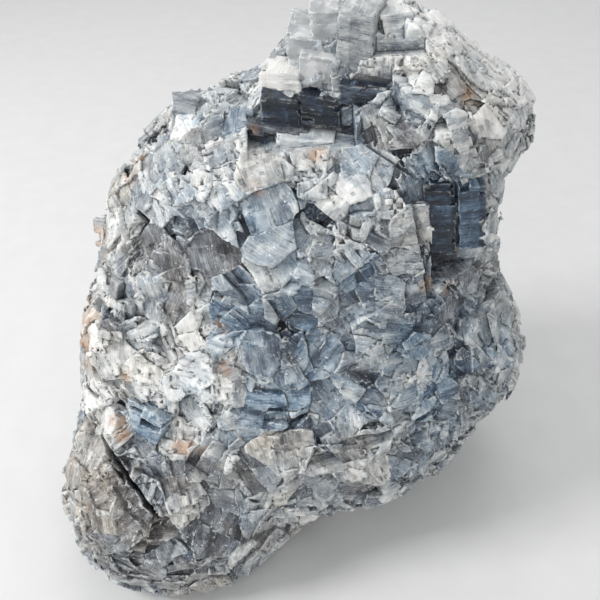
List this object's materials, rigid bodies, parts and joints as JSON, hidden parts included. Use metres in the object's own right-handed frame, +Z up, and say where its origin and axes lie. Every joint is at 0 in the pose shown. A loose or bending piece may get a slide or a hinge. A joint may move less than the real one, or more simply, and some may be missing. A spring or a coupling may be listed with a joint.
{
  "type": "blue calcite specimen",
  "caption": "Rough lump of massive blue calcite, all cleavage faces, steps and broken blocks, standing on a flat broken base.",
  "frame": {"origin": "middle of the bounding box in X and Y, at the height of the flat resting face", "axes": "+Z up from the resting face, -Y towards the front that leans back, +X towards the shoulder of the crown; the crown is at the top on the +X side and the foot at the bottom on the -X side"},
  "size_m": [0.179, 0.144, 0.1889],
  "materials": {
    "calcite": "grey-blue calcite with pearly cleavage faces, white frosted edges, dark blue clear windows and faint ochre stains"
  },
  "bodies": {
    "root": {"calcite_chunk": "calcite"}
  },
  "joints": []
}
